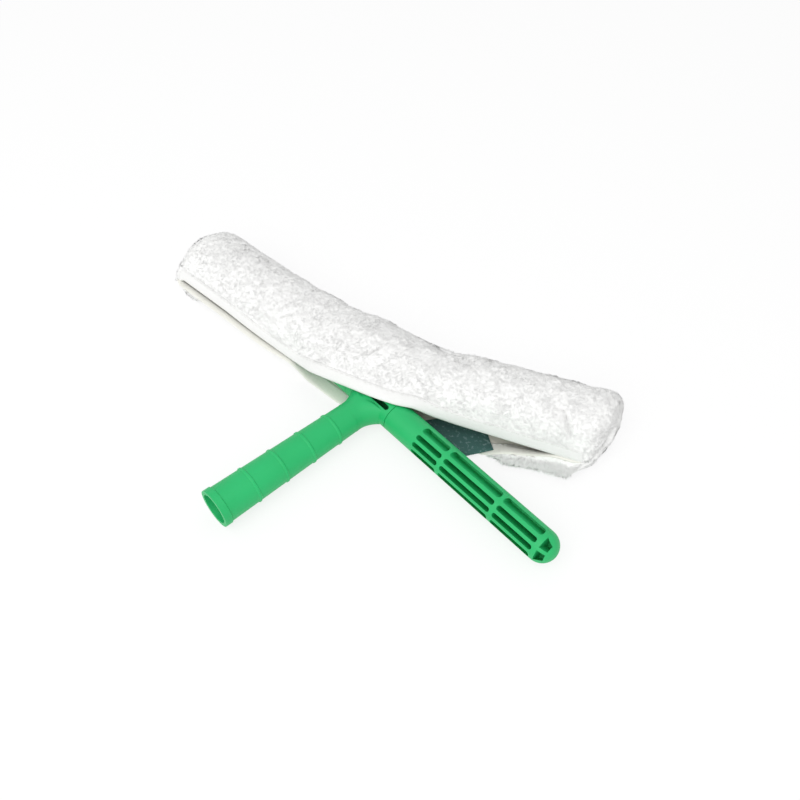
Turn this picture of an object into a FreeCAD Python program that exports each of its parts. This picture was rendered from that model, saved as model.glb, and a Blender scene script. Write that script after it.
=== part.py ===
import FreeCAD, Part
import math
import os
import re
import Sketcher

# A window scrubber: a moulded T-bar (handle with a hub, and two slotted arms) and a plush sleeve.
# Frame: origin at the centre of the pole socket's mouth, +Y along the handle to the crossbar,
# +X along the right arm, +Z up. The crossbar lies in the plane Z = 0.

doc = FreeCAD.newDocument("window_scrubber")
Vec = FreeCAD.Vector

SIZES = [
    ("handle_len", 138.0, "socket mouth to crossbar axis"),
    ("mouth_r", 13.3, "handle radius at the mouth"),
    ("neck_r", 11.0, "handle radius at the neck"),
    ("neck_len", 26.0, "end of the handle's taper to the crossbar axis"),
    ("rim_h", 0.6, "height of the rim and of the ring ribs"),
    ("rim_w", 5.0, "width of the rim band"),
    ("rib_first", 28.0, "first ring rib from the mouth"),
    ("rib_last", 15.3, "last ring rib to the end of the taper"),
    ("rib_w", 2.4, "width of a ring rib"),
    ("rib_top", 1.0, "flat top of a ring rib"),
    ("socket_r", 11.0, "pole socket radius"),
    ("socket_len", 60.0, "straight depth of the pole socket"),
    ("throat_r", 8.0, "hollow in the handle past the pole's stop"),
    ("hub_half", 21.0, "crossbar centre to the joint with an arm"),
    ("hub_slot_w", 3.6, "width of the slot in the hub"),
    ("hub_slot_half", 18.7, "half length of the slot in the hub"),
    ("hub_slot_turn", 26.0, "slot direction, from up towards the handle"),
    ("flare_half", 19.5, "half width of the neck where it meets the hub"),
    ("neck_flat", 0.2, "half width of the flat that the neck's oval starts with"),
    ("neck_sink", 2.2, "how far the neck's top has sunk where it ends in the hub"),
    ("arm_r", 11.3, "radius of the hub and the arms"),
    ("arm_end", 170.0, "crossbar centre to an arm's tip"),
    ("arm_turn", 45.5, "direction the arm slots open, from up towards the handle"),
    ("collar", 0.6, "bevel round an arm's root, at the joint with the hub"),
    ("spigot_r", 8.6, "radius of the spigot on an arm"),
    ("spigot_len", 14.0, "length of the spigot"),
    ("spigot_fit", 0.1, "play of the spigot in the hub"),
    ("core_r", 6.4, "radius of the hollow in an arm's root"),
    ("core_end", 40.0, "end of the hollow in an arm's root"),
    ("slot_w", 3.5, "width of an arm slot"),
    ("row_pitch", 5.85, "spacing of the rows of slots"),
    ("slot_a", 49.0, "first slot starts"),
    ("slot_b", 75.5, "second slot starts"),
    ("slot_c", 124.0, "third slot starts"),
    ("slot_end", 157.5, "third slot ends"),
    ("slot_floor", 3.0, "bottom of the slots, below the arm's axis"),
    ("web", 2.9, "width of a cross rib between slots"),
    ("window_a", 161.0, "end windows start"),
    ("window_b", 166.5, "end windows stop"),
    ("window_wide", 8.6, "half width of the windows at their start"),
    ("window_narrow", 5.6, "half width of the windows at their stop"),
    ("floor_z", -14.6, "height of the surface the scrubber lies on"),
    ("top_z", 28.0, "top of the plush"),
    ("back_y", 33.0, "back of the plush, from the sleeve's axis"),
    ("lip_y", 28.5, "front of the upper lip, from the sleeve's axis"),
    ("middle_lip_y", 34.0, "front of the upper lip where it hangs over the hub"),
    ("sole_y", 36.0, "front of the lower lip, from the sleeve's axis"),
    ("sole_t", 1.5, "thickness of the plush under the arms"),
    ("roof_gap", 1.0, "play between an arm and the plush round it"),
    ("back_gap", 1.2, "play between an arm and the plush behind it"),
    ("axis_back", 3.35, "sleeve axis behind the arm axis"),
    ("low_round", 12.0, "round of the lower back edge"),
    ("high_round", 27.0, "round of the upper back edge"),
    ("lip_round", 14.0, "round of the upper lip"),
    ("hem_t", 3.0, "thickness of the upper hem"),
    ("hem_turn", 30.0, "how far the upper hem goes up round the lip"),
    ("tape_t", 0.5, "thickness of the lower hem"),
    ("tape_w", 11.0, "width of the lower hem"),
    ("fold_r", 36.5, "radius of a segment's round end at a fold"),
    ("fold_gap", 0.5, "play between two segments at a fold"),
    ("fold_spare", 1.0, "turn left over past a fold's limit"),
    ("fold_one_x", -100.0, "first fold, from the crossbar centre"),
    ("fold_one_turn", 12.5, "turn at the first fold"),
    ("fold_one_more", 8.0, "further turn at the first fold"),
    ("fold_two_turn", 15.0, "turn at the second fold"),
    ("fold_two_more", 9.6, "further turn at the second fold"),
    ("pocket_len", 107.0, "left end of the sleeve to the first fold"),
    ("pocket_shut", 54.0, "closed part of the left pocket"),
    ("pocket_turn", 6.3, "slant of the left pocket from the arm"),
    ("middle_len", 92.0, "first fold to second fold"),
    ("panel_len", 118.0, "second fold to the right pocket"),
    ("end_len", 43.0, "right pocket along the sleeve"),
    ("end_wall", 5.0, "plush at a closed end"),
    ("end_round", 7.5, "round of a closed end's edges"),
    ("label_x", 88.0, "label's front corner, from the second fold"),
    ("label_out", 31.0, "label's front corner, in front of the sleeve's axis"),
    ("label_turn", 32.0, "slant of the label from the sleeve"),
    ("label_w", 50.0, "length of the label"),
    ("label_d", 24.0, "width of the label"),
    ("label_t", 0.45, "thickness of the label"),
]
NAMES = {name for name, _, _ in SIZES}

dim = doc.addObject("Spreadsheet::Sheet", "dim")
for row, (name, value, note) in enumerate(SIZES, 1):
    dim.set(f"A{row}", name)
    dim.set(f"B{row}", str(value))
    dim.setAlias(f"B{row}", name)
    dim.set(f"C{row}", note)
doc.recompute()

# Heights and places that several pieces share, in terms of the driving sizes
ROOF = "(arm_r + roof_gap)"
SOLE = "(floor_z + sole_t)"
BACK_WALL = "(arm_r + back_gap - axis_back)"
FRONT_WALL = "(-axis_back - arm_r - roof_gap)"
FAR = "(3 * fold_r)"
THROUGH = "(8 * top_z)"
NECK = "(handle_len - neck_len)"
SLEEVE_END = "(panel_len + end_len)"


def bound(text):
    """An expression in the sheet's names, as the document writes it."""
    def full(match):
        word = match.group()
        return "dim." + word if word in NAMES else word

    return re.sub(r"[a-z_]\w*", full, text)


def number(text):
    return float(dim.evalExpression(bound(text)))


def new_body(name, x="0", y="0", turn="0"):
    body = doc.addObject("PartDesign::Body", name)
    body.Label = name
    body.Placement = FreeCAD.Placement(Vec(), FreeCAD.Rotation(Vec(0, 0, 1), number(turn)))
    body.setExpression("Placement.Base.x", bound(x))
    body.setExpression("Placement.Base.y", bound(y))
    body.setExpression("Placement.Rotation.Angle", bound(turn))
    return body


def new_sketch(body, role, lift="0", turn="0", axis=Vec(1, 0, 0)):
    """A sketch on one of the body's origin planes, lifted along its normal and turned about an axis."""
    sketch = body.newObject("Sketcher::SketchObject", body.Label + "_sketch")
    base = next(f for f in body.Origin.OriginFeatures if f.Role == role)
    sketch.AttachmentSupport = [(base, "")]
    sketch.MapMode = "FlatFace"
    sketch.AttachmentOffset = FreeCAD.Placement(Vec(), FreeCAD.Rotation(axis, number(turn)))
    sketch.setExpression("AttachmentOffset.Base.z", bound(lift))
    return sketch


def hold(sketch, kind, geo, pos, text):
    """Ties one coordinate of a point to an expression."""
    if text == "0":
        axis = -2 if kind == "DistanceX" else -1
        sketch.addConstraint(Sketcher.Constraint("PointOnObject", geo, pos, axis))
        return
    index = sketch.addConstraint(Sketcher.Constraint(kind, -1, 1, geo, pos, number(text)))
    sketch.setExpression(f"Constraints[{index}]", bound(text))


def outline(sketch, points, rounds=None):
    """Adds a closed outline; rounds gives, for a side's number, the radius and centre of its arc."""
    rounds = rounds or {}
    spots = [Vec(number(x), number(y), 0) for x, y in points]
    first = sketch.GeometryCount
    ends = []
    for i, start in enumerate(spots):
        stop = spots[(i + 1) % len(spots)]
        if i not in rounds:
            sketch.addGeometry(Part.LineSegment(start, stop))
            ends.append((1, 2))
            continue
        centre = Vec(number(rounds[i][1]), number(rounds[i][2]), 0)
        circle = Part.Circle(centre, Vec(0, 0, 1), start.distanceToPoint(centre))
        a, b = (math.atan2(p.y - centre.y, p.x - centre.x) for p in (start, stop))
        forward = (b - a) % (2 * math.pi) < math.pi
        sketch.addGeometry(Part.ArcOfCircle(circle, *((a, b) if forward else (b, a))))
        ends.append((1, 2) if forward else (2, 1))
    for i, (x, y) in enumerate(points):
        after = (i + 1) % len(points)
        meet = (first + i, ends[i][1], first + after, ends[after][0])
        sketch.addConstraint(Sketcher.Constraint("Coincident", *meet))
        hold(sketch, "DistanceX", first + i, ends[i][0], x)
        hold(sketch, "DistanceY", first + i, ends[i][0], y)
    for i, (radius, _, _) in rounds.items():
        index = sketch.addConstraint(Sketcher.Constraint("Radius", first + i, number(radius)))
        sketch.setExpression(f"Constraints[{index}]", bound(radius))
    return sketch


def disc(sketch, centre_x, radius):
    """Adds a circle with its centre on the sketch's horizontal axis."""
    circle = Part.Circle(Vec(number(centre_x), 0, 0), Vec(0, 0, 1), number(radius))
    geo = sketch.addGeometry(circle)
    hold(sketch, "DistanceX", geo, 3, centre_x)
    hold(sketch, "DistanceY", geo, 3, "0")
    index = sketch.addConstraint(Sketcher.Constraint("Radius", geo, number(radius)))
    sketch.setExpression(f"Constraints[{index}]", bound(radius))
    return sketch


def feature(body, kind, sketch, **sizes):
    """Adds a feature on a sketch; a size given as text is bound to the sheet."""
    made = body.newObject("PartDesign::" + kind, f"{body.Label}_{kind.lower()}")
    made.Profile = (sketch, [""])
    for key, value in sizes.items():
        if isinstance(value, str) and key in ("Length", "Angle"):
            made.setExpression(key, bound(value))
        else:
            setattr(made, key, value)
    doc.recompute()
    return made


def pad(body, sketch, length, **more):
    return feature(body, "Pad", sketch, Length=length, **more)


def cut(body, sketch, length, **more):
    """Cuts a sketch's outline away, and makes sure that it took something off."""
    before = body.Shape.Volume
    made = feature(body, "Pocket", sketch, Length=length, **more)
    assert body.Shape.Volume < before - 0.01, made.Name
    return made


def turned(body, sketch, axis):
    return feature(body, "Revolution", sketch, ReferenceAxis=(sketch, [axis]), Angle=360.0)


# The handle: a tapered tube with a rim and ring ribs, a flared neck and a hub across its end

RIBS = 4


def handle_radius(at):
    return f"(mouth_r + (neck_r - mouth_r) * ({at}) / {NECK})"


def make_handle():
    body = new_body("handle")
    wall = [
        ("socket_r", "0"),
        ("mouth_r + rim_h", "0"),
        ("mouth_r + rim_h", "rim_w"),
        (handle_radius("rim_w + rim_h"), "rim_w + rim_h"),
        ("neck_r", NECK),
        ("neck_r", "handle_len"),
        ("throat_r", "handle_len"),
        ("throat_r", "socket_len"),
        ("socket_r", "socket_len"),
    ]
    turned(body, outline(new_sketch(body, "XY_Plane"), wall), "V_Axis")
    for step in range(RIBS):
        at = f"(rib_first + {step} * ({NECK} - rib_first - rib_last) / {RIBS - 1})"
        low, high = f"{at} - rib_w / 2", f"{at} + rib_w / 2"
        rib = [
            (handle_radius(low) + " - rim_h", low),
            (handle_radius(low), low),
            (handle_radius(at) + " + rim_h", f"{at} - rib_top / 2"),
            (handle_radius(at) + " + rim_h", f"{at} + rib_top / 2"),
            (handle_radius(high), high),
            (handle_radius(high) + " - rim_h", high),
        ]
        turned(body, outline(new_sketch(body, "XY_Plane"), rib), "V_Axis")
    make_neck(body)
    pad(body, disc(new_sketch(body, "YZ_Plane", "-hub_half"), "handle_len", "arm_r"), "2 * hub_half")
    bore = disc(new_sketch(body, "YZ_Plane", "-hub_half"), "handle_len", "spigot_r + spigot_fit")
    cut(body, bore, "2 * hub_half", Reversed=True)
    throat = disc(new_sketch(body, "XZ_Plane", "-handle_len"), "0", "throat_r")
    cut(body, throat, "neck_len", Reversed=True)
    cut_hub_slot(body)
    return body


# The neck's ovals: distance to the crossbar axis, share of the flare that has opened, sinking of the top
NECK_OVALS = [
    ("neck_len", "0", "0"),
    ("1.5 * arm_r", "0.12", "0"),
    ("1.05 * arm_r", "0.45", "0"),
    ("0.7 * arm_r", "1", "neck_sink"),
]


def make_neck(body):
    """The neck widens along the crossbar as it runs into the hub: a loft through four ovals."""
    ovals = []
    for back, share, sink in NECK_OVALS:
        flat = f"(neck_flat + {sink} + {share} * (flare_half - neck_r))"
        sketch = new_sketch(body, "XZ_Plane", f"{back} - handle_len")
        ovals.append(oval(sketch, flat, f"(neck_r - {sink})"))
    loft = body.newObject("PartDesign::AdditiveLoft", "handle_neck")
    loft.Profile = (ovals[0], [""])
    loft.Sections = [(each, [""]) for each in ovals[1:]]
    doc.recompute()


def oval(sketch, flat, half):
    """A rounded oblong: half circles at both ends, and flats between them."""
    points = [
        (f"-{flat}", f"-{half}"),
        (flat, f"-{half}"),
        (f"{flat} + {half}", "0"),
        (flat, half),
        (f"-{flat}", half),
        (f"-{flat} - {half}", "0"),
    ]
    rounds = {
        1: (half, flat, "0"),
        2: (half, flat, "0"),
        4: (half, f"-{flat}", "0"),
        5: (half, f"-{flat}", "0"),
    }
    return outline(sketch, points, rounds)


def slot_outline(sketch, start, stop, middle, width):
    """A slot with round ends along the sketch's horizontal axis."""
    half = f"(({width}) / 2)"
    low, high = f"({middle}) - {half}", f"({middle}) + {half}"
    left, right = f"({start}) + {half}", f"({stop}) - {half}"
    points = [
        (left, low),
        (right, low),
        (f"{right} + {half}", middle),
        (right, high),
        (left, high),
        (f"{left} - {half}", middle),
    ]
    rounds = {
        1: (half, right, middle),
        2: (half, right, middle),
        4: (half, left, middle),
        5: (half, left, middle),
    }
    outline(sketch, points, rounds)


def cut_hub_slot(body):
    """The slot on top of the hub; the sketch's plane is turned about the crossbar axis."""
    sketch = new_sketch(body, "XY_Plane")
    sketch.AttachmentOffset = FreeCAD.Placement(
        Vec(0, number("handle_len"), 0), FreeCAD.Rotation(Vec(1, 0, 0), number("hub_slot_turn"))
    )
    sketch.setExpression("AttachmentOffset.Base.z", None)
    sketch.setExpression("AttachmentOffset.Base.y", bound("handle_len"))
    slot_outline(sketch, "-hub_slot_half", "hub_slot_half", "0", "hub_slot_w")
    cut(body, sketch, "2 * arm_r", Reversed=True)


# The arms: mouldings with rows of deep slots on one side, and a spigot for the hub

ROWS = 4


def tilted_sketch(body, turn, lift):
    """A sketch along the crossbar that faces up, turned towards the handle, at a distance from the axis."""
    sketch = new_sketch(body, "XY_Plane", turn=turn)
    sketch.setExpression("AttachmentOffset.Base.z", bound(f"({lift}) * cos({turn})"))
    sketch.setExpression("AttachmentOffset.Base.y", bound(f"-({lift}) * sin({turn})"))
    return sketch


def make_arm(name, side):
    body = new_body(name, y="handle_len")
    sign = "" if side > 0 else "-"

    def along(text):
        return f"{sign}({text})"

    dome = "arm_end - arm_r"
    profile = [
        (along("hub_half - spigot_len"), "core_r"),
        (along("hub_half - spigot_len"), "spigot_r"),
        (along("hub_half"), "spigot_r"),
        (along("hub_half"), "arm_r - collar"),
        (along("hub_half + collar"), "arm_r"),
        (along(dome), "arm_r"),
        (along("arm_end"), "0"),
        (along("core_end"), "0"),
        (along("core_end"), "core_r"),
    ]
    tip = {5: ("arm_r", along(dome), "0")}
    turned(body, outline(new_sketch(body, "XY_Plane"), profile, tip), "H_Axis")

    rows = tilted_sketch(body, "arm_turn", "-slot_floor")
    stops = ("slot_b - web", "slot_c - web", "slot_end")
    for start, stop in zip(("slot_a", "slot_b", "slot_c"), stops):
        near, far = (start, stop) if side > 0 else (f"-({stop})", f"-({start})")
        slot_outline(rows, near, far, f"-{(ROWS - 1) / 2} * row_pitch", "slot_w")
    slots = cut(body, rows, "2 * arm_r", Reversed=True)
    repeat = body.newObject("PartDesign::LinearPattern", name + "_rows")
    repeat.Originals = [slots]
    repeat.Direction = (rows, ["V_Axis"])
    repeat.setExpression("Length", bound(f"{ROWS - 1} * row_pitch"))
    repeat.Occurrences = ROWS
    body.Tip = repeat
    doc.recompute()

    windows = tilted_sketch(body, "arm_turn", "-slot_floor")
    inner = "((row_pitch - slot_w) / 2)"
    for edge in ("", "-"):
        pane = [
            (along("window_a"), f"{edge}{inner}"),
            (along("window_a"), f"{edge}window_wide"),
            (along("window_b"), f"{edge}window_narrow"),
            (along("window_b"), f"{edge}{inner}"),
        ]
        outline(windows, pane)
    cut(body, windows, "2 * arm_r", Reversed=True)

    key = new_sketch(body, "XY_Plane", turn="hub_slot_turn")
    notch = [
        (along("hub_half - spigot_len - web"), "-hub_slot_w / 2 - spigot_fit"),
        (along("hub_slot_half + spigot_fit"), "-hub_slot_w / 2 - spigot_fit"),
        (along("hub_slot_half + spigot_fit"), "hub_slot_w / 2 + spigot_fit"),
        (along("hub_half - spigot_len - web"), "hub_slot_w / 2 + spigot_fit"),
    ]
    cut(body, outline(key, notch), "2 * arm_r", Reversed=True)
    return body


# The sleeve: three segments of plush that meet at two folds, each with its hems

FIRST_TURN = "(fold_one_turn + fold_one_more + fold_spare)"
SECOND_TURN = "(fold_two_turn + fold_two_more + fold_spare)"
FOLD_ONE = ("fold_one_x", "handle_len + axis_back", "0")
FOLD_ONE_TURNED = FOLD_ONE[:2] + ("fold_one_turn",)
POCKET_PLACE = FOLD_ONE[:2] + ("pocket_turn",)
FOLD_TWO = (
    "fold_one_x + middle_len * cos(fold_one_turn)",
    "handle_len + axis_back + middle_len * sin(fold_one_turn)",
    "fold_one_turn + fold_two_turn",
)


END_STEPS = 3


def section(sketch, shut, lip_at="lip_y", inset="0"):
    """The plush's section, drawn in by the inset: shut all round, or open in front of the bar."""
    low, high, lip = "(back_y - low_round)", "(back_y - high_round)", f"(lip_round - {lip_at})"
    back, top, floor = f"(back_y - {inset})", f"(top_z - {inset})", f"(floor_z + {inset})"
    points = [
        (low, floor),
        (back, "floor_z + low_round"),
        (back, "top_z - high_round"),
        (high, top),
        (lip, top),
        (f"{inset} - {lip_at}", "top_z - lip_round"),
    ]
    rounds = {
        0: (f"low_round - {inset}", low, "floor_z + low_round"),
        2: (f"high_round - {inset}", high, "top_z - high_round"),
        4: (f"lip_round - {inset}", lip, "top_z - lip_round"),
    }
    if shut:
        near = f"(low_round - {lip_at})"
        points += [(f"{inset} - {lip_at}", "floor_z + low_round"), (near, floor)]
        rounds[6] = (f"low_round - {inset}", near, "floor_z + low_round")
    else:
        points += [(f"-{lip_at}", ROOF), ("-sole_y", SOLE), ("-sole_y", "floor_z")]
    return outline(sketch, points, rounds)


def shut_end(body, at, side):
    """Closes a pocket's end: a ruled loft through sections that draw in along a quarter circle."""
    rings = []
    for step in range(END_STEPS + 1):
        angle = f"{step} * 90 / {END_STEPS}"
        lift = f"{at} - ({side}) * end_round * (1 - sin({angle}))"
        inset = f"(end_round * (1 - cos({angle})))"
        rings.append(section(new_sketch(body, "YZ_Plane", lift), shut=True, inset=inset))
    loft = body.newObject("PartDesign::AdditiveLoft", body.Label + "_end")
    loft.Profile = (rings[0], [""])
    loft.Sections = [(each, [""]) for each in rings[1:]]
    loft.Ruled = True
    doc.recompute()


def round_end(body):
    """Rounds a segment's left end to an arc about the fold."""
    points = [
        ("0", f"-{FAR}"),
        ("0", "-fold_r"),
        ("-fold_r", "0"),
        ("0", "fold_r"),
        ("0", FAR),
        (f"-{FAR}", FAR),
        (f"-{FAR}", f"-{FAR}"),
    ]
    arcs = {1: ("fold_r", "0", "0"), 2: ("fold_r", "0", "0")}
    cut(body, outline(new_sketch(body, "XY_Plane"), points, arcs), THROUGH, Midplane=True)


def hollow_end(body, at, turn):
    """Hollows a segment's right end round the next segment, with room at the back for its turn."""
    sketch = new_sketch(body, "XY_Plane")
    reach = "(fold_r + fold_gap)"
    points = [
        (at, f"-{reach}"),
        (f"{at} + {FAR}", f"-{reach}"),
        (f"{at} + {FAR}", FAR),
        (f"{at} - {FAR} * tan({turn})", FAR),
        (f"{at} - {reach} * sin({turn})", f"{reach} * cos({turn})"),
        (f"{at} - {reach}", "0"),
    ]
    arcs = {4: (reach, at, "0"), 5: (reach, at, "0")}
    cut(body, outline(sketch, points, arcs), THROUGH, Midplane=True)


def cut_channel(body, points, turn="0"):
    """Takes out the space for an arm, between the sole and the roof."""
    sketch = new_sketch(body, "XY_Plane", SOLE, turn, Vec(0, 0, 1))
    cut(body, outline(sketch, points), f"{ROOF} - {SOLE}", Reversed=True)


def band(name, place, start, length, low, high, under, over):
    """A flat band along a segment, between two distances from its axis and two heights."""
    body = new_body(name, *place)
    points = [(low, under), (high, under), (high, over), (low, over)]
    pad(body, outline(new_sketch(body, "YZ_Plane", start), points), length)
    return body


def upper_hem(name, place, start, length, lip_at="lip_y"):
    """The tape on the upper lip: it stands on the lip's front and follows its round."""
    body = new_body(name, *place)
    middle, centre, out = f"(lip_round - {lip_at})", "(top_z - lip_round)", "(lip_round + hem_t)"
    points = [
        (f"-{lip_at}", ROOF),
        (f"-{lip_at}", centre),
        (f"{middle} - lip_round * cos(hem_turn)", f"{centre} + lip_round * sin(hem_turn)"),
        (f"{middle} - {out} * cos(hem_turn)", f"{centre} + {out} * sin(hem_turn)"),
        (f"-{lip_at} - hem_t", centre),
        (f"-{lip_at} - hem_t", ROOF),
    ]
    rounds = {1: ("lip_round", middle, centre), 3: (out, middle, centre)}
    pad(body, outline(new_sketch(body, "YZ_Plane", start), points, rounds), length)
    return body


def lower_hem(name, place, start, length):
    return band(name, place, start, length, "-sole_y", "tape_w - sole_y", SOLE, SOLE + " + tape_t")


def make_pocket():
    """The left pocket, at a slant on the left arm: shut at its end, slit open towards the first fold."""
    body = new_body("left_pocket", *POCKET_PLACE)
    sketch = section(new_sketch(body, "YZ_Plane", "end_round - pocket_len"), shut=True)
    pad(body, sketch, "pocket_len - end_round")
    shut_end(body, "-pocket_len", -1)
    hollow_end(body, "0", f"({FIRST_TURN} - pocket_turn)")
    channel = [
        ("end_wall - pocket_len", FRONT_WALL),
        ("pocket_shut - pocket_len", FRONT_WALL),
        ("pocket_shut - pocket_len", f"-{FAR}"),
        ("fold_r", f"-{FAR}"),
        ("fold_r", BACK_WALL),
        ("end_wall - pocket_len", BACK_WALL),
    ]
    cut_channel(body, channel, "-pocket_turn")
    return body


def make_pocket_hem():
    """The lips' hem on the left pocket, which stops short of the round end."""
    body = upper_hem("left_hem", POCKET_PLACE, "end_round - pocket_len", "pocket_len - end_round")
    hollow_end(body, "0", f"({FIRST_TURN} - pocket_turn)")
    return body


def make_middle():
    body = new_body("middle_panel", *FOLD_ONE_TURNED)
    sketch = section(new_sketch(body, "YZ_Plane", "-fold_r"), False, "middle_lip_y")
    pad(body, sketch, "fold_r + middle_len")
    round_end(body)
    hollow_end(body, "middle_len", SECOND_TURN)
    swing = f"tan({FIRST_TURN})"
    channel = [
        (f"-{FAR}", f"-{FAR}"),
        (FAR, f"-{FAR}"),
        (FAR, BACK_WALL),
        ("0", BACK_WALL),
        (f"-{FAR}", f"{BACK_WALL} + {FAR} * {swing}"),
    ]
    cut_channel(body, channel)
    return body


def make_middle_hem(name, hem, *lip):
    body = hem(name, FOLD_ONE_TURNED, "-fold_r", "fold_r + middle_len", *lip)
    round_end(body)
    hollow_end(body, "middle_len", SECOND_TURN)
    return body


def make_panel():
    body = new_body("right_panel", *FOLD_TWO)
    sketch = section(new_sketch(body, "YZ_Plane", "-fold_r"), False)
    pad(body, sketch, "fold_r + panel_len")
    round_end(body)
    far = "(2 * panel_len)"
    channel = [(f"-{far}", f"-{far}"), (far, f"-{far}"), (far, BACK_WALL), (f"-{far}", BACK_WALL)]
    cut_channel(body, channel)
    return body


def make_panel_hem(name, hem):
    body = hem(name, FOLD_TWO, "-fold_r", "fold_r + panel_len")
    round_end(body)
    return body


def make_right_pocket():
    body = new_body("right_pocket", *FOLD_TWO)
    sketch = section(new_sketch(body, "YZ_Plane", "panel_len"), shut=True)
    pad(body, sketch, "end_len - end_round")
    shut_end(body, SLEEVE_END, 1)
    channel = [
        ("panel_len - end_wall", FRONT_WALL),
        (f"{SLEEVE_END} - end_wall", FRONT_WALL),
        (f"{SLEEVE_END} - end_wall", BACK_WALL),
        ("panel_len - end_wall", BACK_WALL),
    ]
    cut_channel(body, channel)
    return body


def make_label():
    """A woven label that lies on the lower hem at a slant and stands out past its edge."""
    body = new_body("label", *FOLD_TWO)
    along = ("-label_w * cos(label_turn)", "-label_w * sin(label_turn)")
    across = ("-label_d * sin(label_turn)", "label_d * cos(label_turn)")
    corner = ("label_x", "-label_out")
    points = [
        corner,
        tuple(f"{a} + {b}" for a, b in zip(corner, across)),
        tuple(f"{a} + {b} + {c}" for a, b, c in zip(corner, across, along)),
        tuple(f"{a} + {b}" for a, b in zip(corner, along)),
    ]
    sketch = outline(new_sketch(body, "XY_Plane", f"{SOLE} + tape_t"), points)
    pad(body, sketch, "label_t")
    return body


parts = [
    make_handle(),
    make_arm("left_arm", -1),
    make_arm("right_arm", 1),
    make_pocket(),
    make_pocket_hem(),
    make_middle(),
    make_middle_hem("middle_upper_hem", upper_hem, "middle_lip_y"),
    make_middle_hem("middle_lower_hem", lower_hem),
    make_panel(),
    make_panel_hem("right_upper_hem", upper_hem),
    make_panel_hem("right_lower_hem", lower_hem),
    make_right_pocket(),
    upper_hem("right_pocket_hem", FOLD_TWO, "panel_len", "end_len - end_round"),
    make_label(),
]

doc.recompute()
for thing in doc.Objects:
    assert not {"Invalid", "Error"} & set(thing.State), (thing.Name, thing.State)
os.makedirs("parts", exist_ok=True)
for part in parts:
    shape = part.Shape
    assert not shape.isNull() and shape.isValid(), part.Label
    assert len(shape.Solids) == 1, part.Label
    shape.exportStep(f"parts/{part.Label}.step")
    print(f"{part.Label}: {shape.Volume / 1000:.1f} cm3, box {shape.BoundBox}")
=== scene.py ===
# %% [markdown]
# A window scrubber: a green plastic T-bar, and a white plush sleeve that has been pulled half off it.
# The hard parts come from the imported CAD model, which is the fixed frame of this scene. Everything soft
# is made here, round that frame.

# %% Load the frame
import math

import bpy
import numpy as np
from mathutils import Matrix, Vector, noise


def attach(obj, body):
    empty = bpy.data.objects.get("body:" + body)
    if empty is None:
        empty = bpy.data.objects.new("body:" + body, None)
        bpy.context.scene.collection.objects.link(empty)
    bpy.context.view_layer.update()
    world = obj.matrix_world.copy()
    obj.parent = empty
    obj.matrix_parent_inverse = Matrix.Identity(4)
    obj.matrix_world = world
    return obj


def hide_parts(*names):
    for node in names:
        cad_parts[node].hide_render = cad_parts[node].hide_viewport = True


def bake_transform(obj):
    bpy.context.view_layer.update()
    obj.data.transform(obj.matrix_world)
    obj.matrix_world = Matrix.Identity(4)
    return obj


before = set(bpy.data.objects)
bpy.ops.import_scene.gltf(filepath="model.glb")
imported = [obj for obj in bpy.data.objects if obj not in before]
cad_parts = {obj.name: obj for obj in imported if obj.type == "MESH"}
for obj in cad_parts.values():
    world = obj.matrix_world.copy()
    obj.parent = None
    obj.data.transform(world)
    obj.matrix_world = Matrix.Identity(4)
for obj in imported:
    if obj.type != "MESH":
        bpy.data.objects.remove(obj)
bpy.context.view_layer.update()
MM = 0.001
print("nodes:", ", ".join(sorted(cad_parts)))

# %% [markdown]
# The sleeve is one long tube of cloth that bends twice. Its middle line could be drawn as a curve object,
# but a heading that turns smoothly at each fold is shorter to write: the line is the sum of small steps in
# that heading. It passes through the middle of the sleeve's middle panel, where the CAD model has it too.
# All lengths in this script are millimetres, until a mesh is made.

# %% The sleeve's middle line
SLEEVE_LENGTH = 360.0
FOLD_ONE, FOLD_TWO = 107.0, 199.0
FOLD_ONE_LENGTH, FOLD_TWO_LENGTH = 70.0, 80.0
HALFWAY = 153.0
HALFWAY_POINT = (-55.09, 151.31)
HEADINGS = (6.3, 12.5, 27.5)
LINE_STEP = 0.5
LINE_MARGIN = 20.0


def ease(t):
    """Goes from 0 to 1 with a soft start and a soft stop."""
    t = np.clip(t, 0.0, 1.0)
    return t * t * (3.0 - 2.0 * t)


def heading(s):
    """The sleeve's direction in radians, s millimetres from its left end."""
    first = (HEADINGS[1] - HEADINGS[0]) * ease((s - FOLD_ONE) / FOLD_ONE_LENGTH + 0.5)
    second = (HEADINGS[2] - HEADINGS[1]) * ease((s - FOLD_TWO) / FOLD_TWO_LENGTH + 0.5)
    return np.radians(HEADINGS[0] + first + second)


LINE_S = np.arange(-LINE_MARGIN, SLEEVE_LENGTH + LINE_MARGIN + LINE_STEP, LINE_STEP)
LINE_X = np.cumsum(np.cos(heading(LINE_S))) * LINE_STEP
LINE_Y = np.cumsum(np.sin(heading(LINE_S))) * LINE_STEP
LINE_X += HALFWAY_POINT[0] - np.interp(HALFWAY, LINE_S, LINE_X)
LINE_Y += HALFWAY_POINT[1] - np.interp(HALFWAY, LINE_S, LINE_Y)


def place(s, across, up):
    """Points in millimetres: s along the sleeve, across it towards the back, and up."""
    turn = heading(s)
    x = np.interp(s, LINE_S, LINE_X) - np.sin(turn) * across
    y = np.interp(s, LINE_S, LINE_Y) + np.cos(turn) * across
    return np.stack([x, y, up + 0.0 * x], axis=-1)


print("sleeve ends:", place(np.array([0.0, SLEEVE_LENGTH]), 0.0, 0.0).round(1).tolist())

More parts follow.
